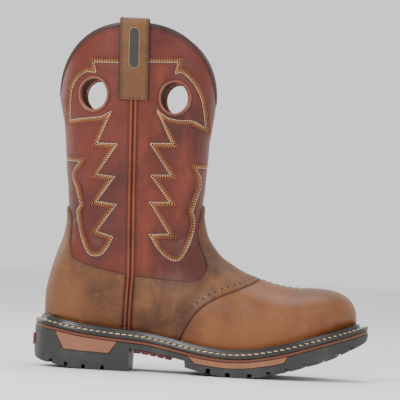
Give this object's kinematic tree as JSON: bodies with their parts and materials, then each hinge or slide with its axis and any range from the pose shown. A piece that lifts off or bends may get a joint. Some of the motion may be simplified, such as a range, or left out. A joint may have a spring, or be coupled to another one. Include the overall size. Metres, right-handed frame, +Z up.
{
  "type": "western roper work boot",
  "caption": "Pull-on western work boot with a scalloped shaft, pull holes and straps, a saddle and heel counter, and a lugged rubber sole with a block heel.",
  "frame": {"origin": "on the floor, at the middle of the boot's length and width", "axes": "+X towards the toe, +Y towards the medial side, +Z up"},
  "size_m": [0.3096, 0.1146, 0.3255],
  "materials": {
    "shaft_leather": "glossy red-brown pull-up leather",
    "toe_leather": "smooth waxed brown leather, lightly scuffed",
    "saddle_leather": "distressed two-tone brown leather",
    "binding_leather": "dark folded leather edge",
    "seam_leather": "orange-brown raised piping",
    "strap_leather": "stitched brown pull strap",
    "footbed": "woven cover on a foam footbed",
    "black_rubber": "satin black rubber",
    "midsole_stripe": "brown-red layer",
    "tan_rubber": "matt tan panels",
    "red_plastic": "red-brown ribbed plate",
    "badge_red": "plain red panel"
  },
  "bodies": {
    "root": {"upper": "shaft_leather", "vamp": "toe_leather", "saddle": "saddle_leather", "counter": "saddle_leather", "collar_binding": "binding_leather", "seam_lateral": "seam_leather", "seam_medial": "seam_leather", "strap_lateral": "strap_leather", "strap_medial": "strap_leather", "hole_ring_lateral_back": "seam_leather", "hole_ring_lateral_front": "seam_leather", "hole_ring_medial_back": "seam_leather", "hole_ring_medial_front": "seam_leather", "insole": "footbed", "welt": "black_rubber", "midsole": "midsole_stripe", "outsole": "black_rubber", "heel_inlay_lateral": "tan_rubber", "heel_inlay_medial": "tan_rubber", "forepart_inlay_lateral": "tan_rubber", "forepart_inlay_medial": "tan_rubber", "arch_insert": "red_plastic", "heel_badge": "badge_red"}
  },
  "joints": []
}
